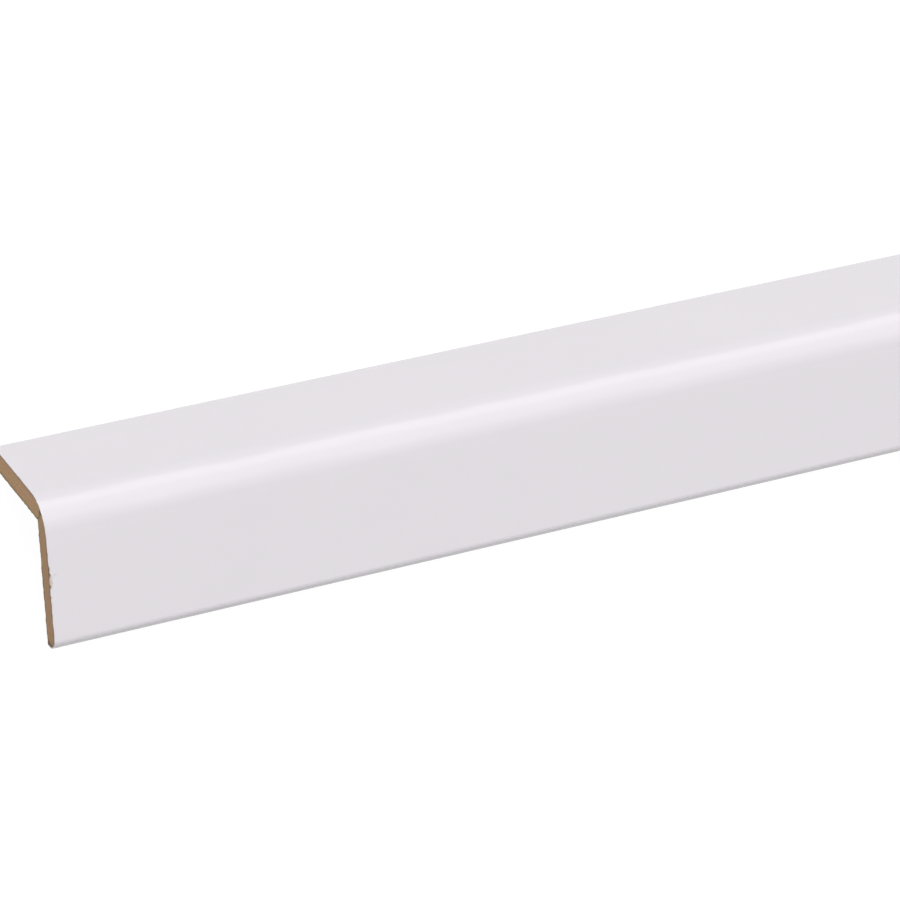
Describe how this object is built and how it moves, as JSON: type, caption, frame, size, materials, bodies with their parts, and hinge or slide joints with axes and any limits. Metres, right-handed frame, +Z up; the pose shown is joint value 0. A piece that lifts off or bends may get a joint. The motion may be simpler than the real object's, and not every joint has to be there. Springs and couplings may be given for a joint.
{
  "type": "corner guard moulding",
  "caption": "Long equal-leg angle trim that covers and protects an outside wall corner: two mitred fibreboard strips under one white foil, with a rounded corner and rounded noses.",
  "frame": {"origin": "on the floor under the ridge, half way along the moulding, which stands like a roof on its two noses", "axes": "+X along the moulding, +Z up through the rounded corner, which is the ridge; the front leg slopes down to -Y and the back leg to +Y; the end at -X is the sawn end that the picture shows"},
  "size_m": [2.4, 0.0372, 0.0203],
  "materials": {
    "fibreboard": "raw sawn medium brown fibreboard, matt",
    "white_foil": "smooth white decorative foil, satin"
  },
  "bodies": {
    "root": {"front_leg": "fibreboard", "back_leg": "fibreboard", "foil_wrap": "white_foil"}
  },
  "joints": []
}
